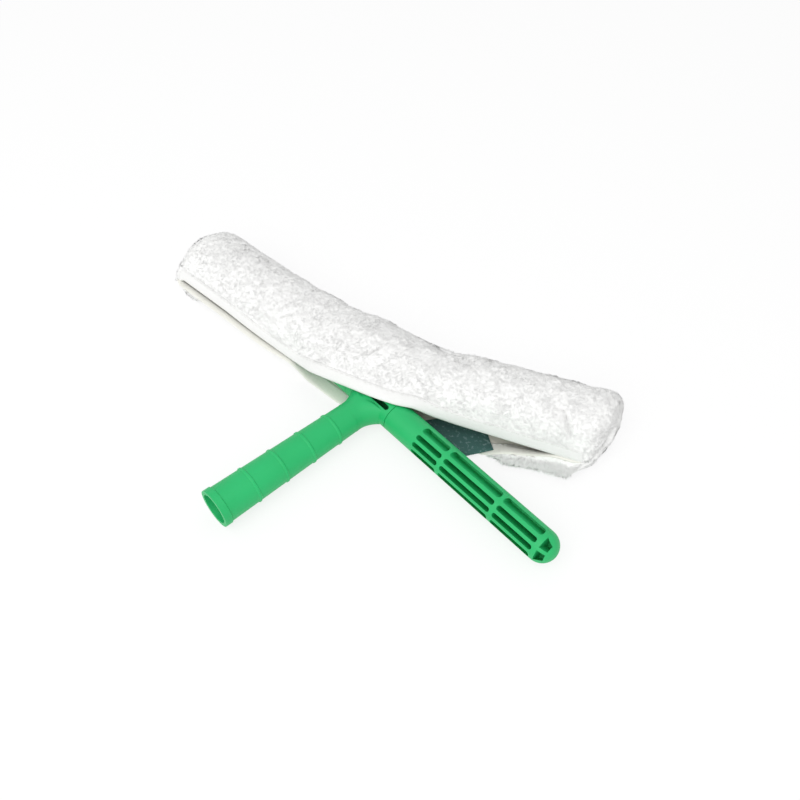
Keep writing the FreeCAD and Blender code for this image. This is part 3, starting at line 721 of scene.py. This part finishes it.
# %% [markdown]
# Each tape is then a body from a grid, in a left and a right piece as the skin is. Its map follows the tape,
# so that the weave does too. The tapes stop just before the ends, where the plush closes over the lips.

# %% The hem tapes
TAPE_END = 4.5
TAPE_COLUMNS = 33
TAPE_GIRTH = 30.0


def tape_map(piece):
    """Turns the kept distances along and across a tape into its UV map, in centimetres."""
    distances = [kept_values(piece, title) / 10 for title in ("along", "across")]
    corner = np.zeros(len(piece.data.loops), int)
    piece.data.loops.foreach_get("vertex_index", corner)
    layer = piece.data.uv_layers.new(name="tape")
    layer.data.foreach_set("uv", np.stack(distances, axis=-1)[corner].ravel())


def hem_tape(name, first, last, lower, binding):
    s = STATIONS[(STATIONS >= first) & (STATIONS <= last)]
    points = lip_points(s, lower, smooth_line(binding + binding[:1], TAPE_COLUMNS))
    along = np.broadcast_to(s[:, None], points.shape[:2])
    across = np.broadcast_to(np.linspace(0, TAPE_GIRTH, TAPE_COLUMNS), points.shape[:2])
    piece = shaped_grid(name, points, {"along": along, "across": across})
    tape_map(piece)
    return piece


upper_hem_left = hem_tape("upper_hem_left", TAPE_END, HALFWAY, False, UPPER_BINDING)
upper_hem_right = hem_tape("upper_hem_right", HALFWAY, SLEEVE_LENGTH - TAPE_END, False, UPPER_BINDING)
lower_hem_left = hem_tape("lower_hem_left", TAPE_END, HALFWAY, True, LEFT_BINDING)
lower_hem_right = hem_tape("lower_hem_right", HALFWAY, SLEEVE_LENGTH - TAPE_END, True, LOWER_BINDING)
hems = (upper_hem_left, upper_hem_right, lower_hem_left, lower_hem_right)
print("hem faces:", [len(p.data.polygons) for p in hems])

# %% [markdown]
# A woven label is sewn into the slit and lies out over the lower lip, partly under the right arm. It is a
# thin sheet, so a grid with a small thickness is enough. Its front right corner lifts a little, and its face
# is bare: only a stitched border is on it.

# %% The label
LABEL_CORNER = (88.0, -31.0)
LABEL_TURN = math.radians(32.0)
LABEL_SIZE = (50.0, 36.0)
LABEL_THICKNESS = 0.35
LABEL_Z = -12.15
CORNER_LIFT = 1.6
CORNER_SIZE = (20.0, 12.0)
RIPPLE_HEIGHT, RIPPLE_LENGTH = 0.12, 4.0


def label_point(u, v, over=0.0):
    """A point over the label, u from its right end to its left and v from its front edge to its back."""
    x = LABEL_CORNER[0] - math.cos(LABEL_TURN) * u - math.sin(LABEL_TURN) * v
    y = LABEL_CORNER[1] - math.sin(LABEL_TURN) * u + math.cos(LABEL_TURN) * v
    near_end = ease((CORNER_SIZE[0] - u) / CORNER_SIZE[0])
    lift = CORNER_LIFT * near_end * ease((CORNER_SIZE[1] - v) / CORNER_SIZE[1])
    wave = RIPPLE_HEIGHT * np.sin(u / RIPPLE_LENGTH) * near_end
    return place(FOLD_TWO + x, y, LABEL_Z + lift + wave + over)


u, v = np.meshgrid(np.linspace(0, LABEL_SIZE[0], 51), np.linspace(0, LABEL_SIZE[1], 37), indexing="ij")
half = LABEL_THICKNESS / 2
label_cloth = shaped_grid("label_cloth", there_and_back(label_point(u, v, half), label_point(u, v, -half)))
print("label faces:", len(label_cloth.data.polygons))

# %% [markdown]
# The tapes and the label are held by rows of stitches. One stitch is modelled from a small sphere, drawn out
# into a grain of thread, and copied along each seam. Each copy lies in the direction of its seam.

# %% One stitch
STITCH = (1.35, 0.30, 0.24)
nothing_selected()
bpy.ops.mesh.primitive_uv_sphere_add(segments=6, ring_count=5, radius=1.0)
stitch = bpy.context.object
edit_everything()
bpy.ops.mesh.quads_convert_to_tris()
bpy.ops.transform.resize(value=STITCH)
stitch_points, stitch_faces = taken_apart(stitch)


def sewn(name, seam):
    """Stitches centred on every second point of a seam, each aimed at the next point."""
    middle, along = seam[::2], unit(np.gradient(seam, axis=0)[::2])
    side = unit(np.cross(np.array([0.0, 0.0, 1.0]), along))
    axes = np.stack([along, side, np.cross(along, side)], axis=1)
    points = middle[:, None] + np.einsum("pk,nkc->npc", stitch_points, axes)
    return mesh_piece(name, points, copied_faces(stitch_faces, stitch_points, len(middle)))


print("a stitch has", len(stitch_faces), "faces")

# %% [markdown]
# One seam runs along the upper tape and another inside along the lower one. The second is left out where the
# lips are shut and it could not be seen. The label has a finer seam along each of its four edges.

# %% Seams
STITCH_PITCH = 4.0
SEAM_END = 6
UPPER_SEAM = (6.6, 0.72)
LINING_SEAM = (8.2, -1.38)
LINING_FIRST, LINING_LAST = 128, 330
BORDER = 1.6
BORDER_STEP = 1.25


def hem_seam(first, last, lower, inward, height):
    return lip_points(np.arange(first, last, STITCH_PITCH / 2), lower, [(inward, height)])[:, 0]


left_of, right_of = HALFWAY - 1, HALFWAY + 1
stitches_left = sewn("stitches_left", hem_seam(SEAM_END, left_of, False, *UPPER_SEAM))
stitches_right = sewn("stitches_right", hem_seam(right_of, SLEEVE_LENGTH - SEAM_END, False, *UPPER_SEAM))
lining_stitches_left = sewn("lining_stitches_left", hem_seam(LINING_FIRST, left_of, True, *LINING_SEAM))
lining_stitches_right = sewn("lining_stitches_right", hem_seam(right_of, LINING_LAST, True, *LINING_SEAM))
run_u, run_v = [np.arange(BORDER, size - BORDER, BORDER_STEP) for size in LABEL_SIZE]
edge_seams = [label_point(run_u, run_u * 0 + at, half) for at in (BORDER, LABEL_SIZE[1] - BORDER)]
edge_seams += [label_point(run_v * 0 + at, run_v, half) for at in (BORDER, LABEL_SIZE[0] - BORDER)]
label_stitches = [sewn(f"label_stitches_{k}", seam) for k, seam in enumerate(edge_seams)]
print("stitch faces:", len(stitches_left.data.polygons), len(stitches_right.data.polygons))

# %% [markdown]
# Effects that several finishes share are node groups: a fine moulded grain, and a weave. Each group reads
# coordinates and puts out a colour factor and a height, and the shader itself stays in the material.

# %% Node groups for grain and weave


def new_group(name, scale_name, scale):
    """A node group that reads a vector and one number, and puts out a shade and a height."""
    group = bpy.data.node_groups.new(name, "ShaderNodeTree")
    group.interface.new_socket(name="Vector", in_out="INPUT", socket_type="NodeSocketVector")
    socket = group.interface.new_socket(name=scale_name, in_out="INPUT", socket_type="NodeSocketFloat")
    socket.default_value = scale
    for title in ("Shade", "Height"):
        group.interface.new_socket(name=title, in_out="OUTPUT", socket_type="NodeSocketFloat")
    return group, group.nodes.new("NodeGroupInput"), group.nodes.new("NodeGroupOutput")


def node(tree, kind, links=None, **settings):
    """Adds a node, sets its properties, and links or sets its inputs by name."""
    made = tree.nodes.new("ShaderNode" + kind)
    for key, value in settings.items():
        setattr(made, key, value)
    for key, value in (links or {}).items():
        if isinstance(value, bpy.types.NodeSocket):
            tree.links.new(value, made.inputs[key])
        else:
            made.inputs[key].default_value = value
    return made


grain, given, result = new_group("moulded_grain", "Scale", 900.0)
where = given.outputs["Vector"]
grainy = node(grain, "TexNoise", {"Vector": where, "Scale": given.outputs["Scale"], "Detail": 3.0})
cloudy = node(grain, "TexNoise", {"Vector": where, "Scale": 38.0, "Detail": 4.0})
grain.links.new(cloudy.outputs["Fac"], result.inputs["Shade"])
grain.links.new(grainy.outputs["Fac"], result.inputs["Height"])

weave, given, result = new_group("plain_weave", "Threads", 12.0)
where = given.outputs["Vector"]
spread = node(weave, "VectorMath", {0: where, "Scale": given.outputs["Threads"]}, operation="SCALE")
bands = {"Vector": spread.outputs[0], "Scale": 0.5, "Distortion": 0.6}
warp = node(weave, "TexWave", bands, bands_direction="X")
weft = node(weave, "TexWave", bands, bands_direction="Y")
crossing = node(weave, "Math", {0: warp.outputs["Fac"], 1: weft.outputs["Fac"]}, operation="MULTIPLY")
weave.links.new(crossing.outputs[0], result.inputs["Height"])
patchy = node(weave, "TexNoise", {"Vector": where, "Scale": 4.0, "Detail": 3.0})
weave.links.new(patchy.outputs["Fac"], result.inputs["Shade"])
print("node groups:", [g.name for g in (grain, weave)])

# %% [markdown]
# The bar is moulded in one green plastic with a soft sheen. Its colour drifts a little from place to place,
# and a very fine grain breaks up its highlights, as an unpolished mould leaves it.

# %% Green plastic
DEEP_GREEN, PALE_GREEN = (0.011, 0.405, 0.118), (0.019, 0.485, 0.155)


def new_finish(name):
    material = bpy.data.materials.new(name)
    material.use_nodes = True
    tree = material.node_tree
    return material, tree, tree.nodes["Principled BSDF"]


def set_inputs(shader, **values):
    """Sets a shader's plain inputs; an underscore stands for a space in an input's name."""
    for key, value in values.items():
        shader.inputs[key.replace("_", " ")].default_value = value


def colour_between(tree, factor, low, high):
    """Mixes two colours by a factor; either colour may be another node's output."""
    mix = node(tree, "Mix", data_type="RGBA")
    tree.links.new(factor, mix.inputs["Factor"])
    for socket, colour in ((mix.inputs[6], low), (mix.inputs[7], high)):
        if isinstance(colour, bpy.types.NodeSocket):
            tree.links.new(colour, socket)
        else:
            socket.default_value = (*colour, 1)
    return mix.outputs[2]


def use_group(tree, group, vector, **values):
    made = tree.nodes.new("ShaderNodeGroup")
    made.node_tree = group
    tree.links.new(vector, made.inputs["Vector"])
    set_inputs(made, **values)
    return made


def bumped(tree, shader, height, strength, distance):
    """Gives a shader a relief; the distance is in metres."""
    bump = node(tree, "Bump", {"Height": height, "Strength": strength, "Distance": distance})
    tree.links.new(bump.outputs["Normal"], shader.inputs["Normal"])


bar_green, tree, shader = new_finish("bar_green")
moulded = use_group(tree, grain, node(tree, "TexCoord").outputs["Object"], Scale=1400.0)
green = colour_between(tree, moulded.outputs["Shade"], DEEP_GREEN, PALE_GREEN)
tree.links.new(green, shader.inputs["Base Color"])
rough = node(tree, "MapRange", {"Value": moulded.outputs["Shade"], "To Min": 0.42, "To Max": 0.56})
tree.links.new(rough.outputs[0], shader.inputs["Roughness"])
bumped(tree, shader, moulded.outputs["Height"], 0.12, 0.0002)
set_inputs(shader, Specular_IOR_Level=0.38, Subsurface_Weight=0.05, Subsurface_Radius=(0.001, 0.003, 0.0015))
print("finish:", bar_green.name)

# %% [markdown]
# The plush is white, with painted shade that makes it a little greyer in the creases between its tufts than
# on their crests. Its fibres run through it as a fine streaky relief, and a soft sheen stands on them. The
# lining is an undyed, creamy weave that only shows in the slit: the value kept on the skin's points says
# where it is. The fuzz has the same white, painted darker towards its fibres' roots as shade, without lining
# and relief, and lets a little light through.

# %% White plush
# The first white is painted shade for the creases; the second is the plush's own white on the crests.
PAINTED_CREASE_SHADE, CREST_WHITE = (0.90, 0.90, 0.89), (0.975, 0.975, 0.965)
LINING_CREAM = (0.80, 0.78, 0.69)
LIGHT_THROUGH = 0.08


def mixed_surface(tree, share, shader, other):
    """Mixes a share of another shader into a material's surface."""
    both = node(tree, "MixShader", {0: share, 1: shader.outputs[0], 2: other.outputs[0]})
    tree.links.new(both.outputs[0], tree.nodes["Material Output"].inputs["Surface"])


def plush_colour(tree, where):
    """White by the height of the tufts, as painted shade that greys the creases, with a slow drift over it.
    """
    crest_and_shade = node(tree, "Attribute", attribute_name="crest_and_shade").outputs["Fac"]
    drift = node(tree, "TexNoise", {"Vector": where, "Scale": 70.0, "Detail": 3.0}).outputs["Fac"]
    # Painted shade: low tuft height, in the creases and at the fibres' roots, gets the greyer white.
    shade_and_drift = node(tree, "Math", {0: crest_and_shade, 1: 0.75}, operation="MULTIPLY").outputs[0]
    shade_and_drift = node(tree, "Math", {0: drift, 1: 0.5, 2: shade_and_drift}, operation="MULTIPLY_ADD").outputs[0]
    return colour_between(tree, shade_and_drift, PAINTED_CREASE_SHADE, CREST_WHITE)


def plush_finish(name):
    """A new finish with the plush's colour and sheen, and the nodes that the rest is added to."""
    material, tree, shader = new_finish(name)
    where = node(tree, "TexCoord").outputs["Object"]
    set_inputs(shader, Roughness=0.95, Specular_IOR_Level=0.2, Sheen_Weight=0.3)
    return material, tree, shader, where, plush_colour(tree, where)


sleeve_plush, tree, shader, where, white = plush_finish("sleeve_plush")
inside = node(tree, "Attribute", attribute_name="lining").outputs["Fac"]
tree.links.new(colour_between(tree, inside, white, LINING_CREAM), shader.inputs["Base Color"])
hairs = node(tree, "TexNoise", {"Vector": where, "Scale": 900.0, "Detail": 4.0, "Distortion": 1.2})
bumped(tree, shader, hairs.outputs["Fac"], 0.5, 0.0006)

fuzz_white, tree, shader, where, white = plush_finish("fuzz_white")
tree.links.new(white, shader.inputs["Base Color"])
mixed_surface(tree, LIGHT_THROUGH, shader, node(tree, "BsdfTranslucent", {"Color": white}))
print("finishes:", sleeve_plush.name, fuzz_white.name)

# %% [markdown]
# The tapes, the thread and the label are woven. The tapes read their own map, so their threads follow the
# hem. The label is dark teal with paler threads scattered in it.

# %% Woven finishes
WHITE_TAPE = (0.85, 0.85, 0.84), (0.89, 0.89, 0.88)
CREAM_TAPE = (0.84, 0.83, 0.76), (0.92, 0.915, 0.86)
PALE_THREAD = (0.70, 0.70, 0.67), (0.88, 0.88, 0.86)
DARK_TEAL = (0.028, 0.098, 0.092), (0.090, 0.215, 0.195)
PALE_FLECKS = (0.22, 0.34, 0.33)


def tape_finish(name, colours):
    material, tree, shader = new_finish(name)
    along = node(tree, "UVMap", uv_map="tape").outputs["UV"]
    threads = use_group(tree, weave, along, Threads=60.0)
    tree.links.new(colour_between(tree, threads.outputs["Shade"], *colours), shader.inputs["Base Color"])
    set_inputs(shader, Roughness=0.85)
    bumped(tree, shader, threads.outputs["Height"], 0.35, 0.0003)
    return material


tape_white = tape_finish("tape_white", WHITE_TAPE)
tape_cream = tape_finish("tape_cream", CREAM_TAPE)

thread_white, tree, shader = new_finish("thread_white")
twist = use_group(tree, grain, node(tree, "TexCoord").outputs["Object"], Scale=2500.0)
tree.links.new(colour_between(tree, twist.outputs["Height"], *PALE_THREAD), shader.inputs["Base Color"])
set_inputs(shader, Roughness=0.7)
bumped(tree, shader, twist.outputs["Height"], 0.4, 0.0002)

label_teal, tree, shader = new_finish("label_teal")
where = node(tree, "TexCoord").outputs["Object"]
threads = use_group(tree, weave, where, Threads=2200.0)
teal = colour_between(tree, threads.outputs["Shade"], *DARK_TEAL)
flecks = node(tree, "TexNoise", {"Vector": where, "Scale": 420.0, "Detail": 2.0}).outputs["Fac"]
flecks = node(tree, "MapRange", {"Value": flecks, "From Min": 0.56, "From Max": 0.72}).outputs[0]
tree.links.new(colour_between(tree, flecks, teal, PALE_FLECKS), shader.inputs["Base Color"])
set_inputs(shader, Roughness=0.7)
bumped(tree, shader, threads.outputs["Height"], 0.5, 0.0003)
print("finishes:", [m.name for m in (tape_white, tape_cream, thread_white, label_teal)])

# %% [markdown]
# Now every piece gets its finish.

# %% Give the finishes


def finish(pieces, material):
    for piece in pieces:
        piece.data.materials.clear()
        piece.data.materials.append(material)


for name in ("handle", "left_arm", "right_arm"):
    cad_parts[name].data.materials[0] = bar_green
hem_stitches = (stitches_left, stitches_right, lining_stitches_left, lining_stitches_right)
finish((sleeve_left, sleeve_right), sleeve_plush)
finish((fuzz_left, fuzz_middle, fuzz_right, fringe), fuzz_white)
finish((upper_hem_left, upper_hem_right), tape_white)
finish((lower_hem_left, lower_hem_right), tape_cream)
finish(hem_stitches, thread_white)
finish((label_cloth, *label_stitches), label_teal)
print("finishes in use:", [m.name for m in bpy.data.materials if m.users])

# %% [markdown]
# The pieces of the skin, the fuzz and the hems have their placement baked into their points. The fuzz of the
# right end, the fringe and the label ride on the body of the sleeve's right part. The CAD solids that the
# cloth stands for are hidden.

# %% Place, ride and hide


left_hems = (upper_hem_left, lower_hem_left, stitches_left, lining_stitches_left)
right_hems = (upper_hem_right, lower_hem_right, stitches_right, lining_stitches_right)
for piece in (sleeve_left, fuzz_left, *left_hems):
    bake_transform(piece)
for piece in (sleeve_right, fuzz_middle, *right_hems):
    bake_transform(piece)
for piece in (fuzz_right, fringe, label_cloth, *label_stitches):
    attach(piece, "sleeve_right")
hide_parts("left_pocket", "middle_panel")
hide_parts("right_panel", "right_pocket")
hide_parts("left_hem", "middle_upper_hem")
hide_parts("right_upper_hem", "right_pocket_hem")
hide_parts("middle_lower_hem")
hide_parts("right_lower_hem")
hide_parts("label")

# %% [markdown]
# The scrubber lies on a plain white floor under a pale sky. Both look whiter to the camera than the light
# that they throw on things: the floor has a glow of its own mixed in, and the sky is stronger, for the
# camera's rays and for those that mirrors and glass send on. The floor still takes the object's shadow.

# %% Floor and sky
FLOOR_GLOW = 0.78
SKY_LIGHT, SKY_SEEN = 0.74, 1.0


def seen_directly(tree):
    """1 for rays from the camera, a mirror or glass, and 0 for the light that falls on things."""
    rays = node(tree, "LightPath").outputs
    either = node(tree, "Math", {0: rays["Is Camera Ray"], 1: rays["Is Glossy Ray"]}, operation="MAXIMUM")
    through = {0: either.outputs[0], 1: rays["Is Transmission Ray"]}
    return node(tree, "Math", through, operation="MAXIMUM").outputs[0]


nothing_selected()
bpy.ops.mesh.primitive_plane_add(size=8, location=(0, 0.14, FLOOR_Z * MM - 0.0001))
floor = bpy.context.object
floor.name = "floor"
floor_white, tree, shader = new_finish("floor_white")
set_inputs(shader, Base_Color=(0.97, 0.97, 0.97, 1), Roughness=1.0, Specular_IOR_Level=0.0)
glow_share = node(tree, "Math", {0: seen_directly(tree), 1: FLOOR_GLOW}, operation="MULTIPLY")
mixed_surface(tree, glow_share.outputs[0], shader, node(tree, "Emission", {"Strength": 1.0}))
floor.data.materials.append(floor_white)

world = bpy.data.worlds.new("studio")
bpy.context.scene.world = world
world.use_nodes = True
tree = world.node_tree
sky = tree.nodes["Background"]
sky.inputs["Color"].default_value = (1, 1, 1, 1)
bright = node(tree, "MapRange", {"Value": seen_directly(tree), "To Min": SKY_LIGHT, "To Max": SKY_SEEN})
tree.links.new(bright.outputs[0], sky.inputs["Strength"])
print("floor at", FLOOR_Z, "mm, sky:", world.name)

# %% [markdown]
# One broad soft lamp stands in front and to the right. The camera was fitted to the photograph.

# %% Lamp and camera
LAMP_AIM = Vector((0, 0.15, 0))


def add_to_scene(name, data, location):
    added = bpy.data.objects.new(name, data)
    bpy.context.scene.collection.objects.link(added)
    added.location = location
    return added


lamp_data = bpy.data.lights.new("soft_lamp", "AREA")
lamp_data.energy = 12.2
lamp_data.size = 1.4
lamp = add_to_scene("soft_lamp", lamp_data, (0.32, -0.7, 1.15))
lamp.rotation_euler = (LAMP_AIM - lamp.location).to_track_quat("-Z", "Y").to_euler()

camera_data = bpy.data.cameras.new("camera")
camera_data.sensor_width = 36.0
camera_data.lens = 37.76
camera = add_to_scene("camera", camera_data, (0.29677, -0.10444, 0.46199))
camera.rotation_euler = (math.radians(39.6), 0, math.radians(48.2))
bpy.context.scene.camera = camera
bpy.context.scene.view_settings.view_transform = "Standard"
print("camera at", tuple(round(x, 3) for x in camera.location))
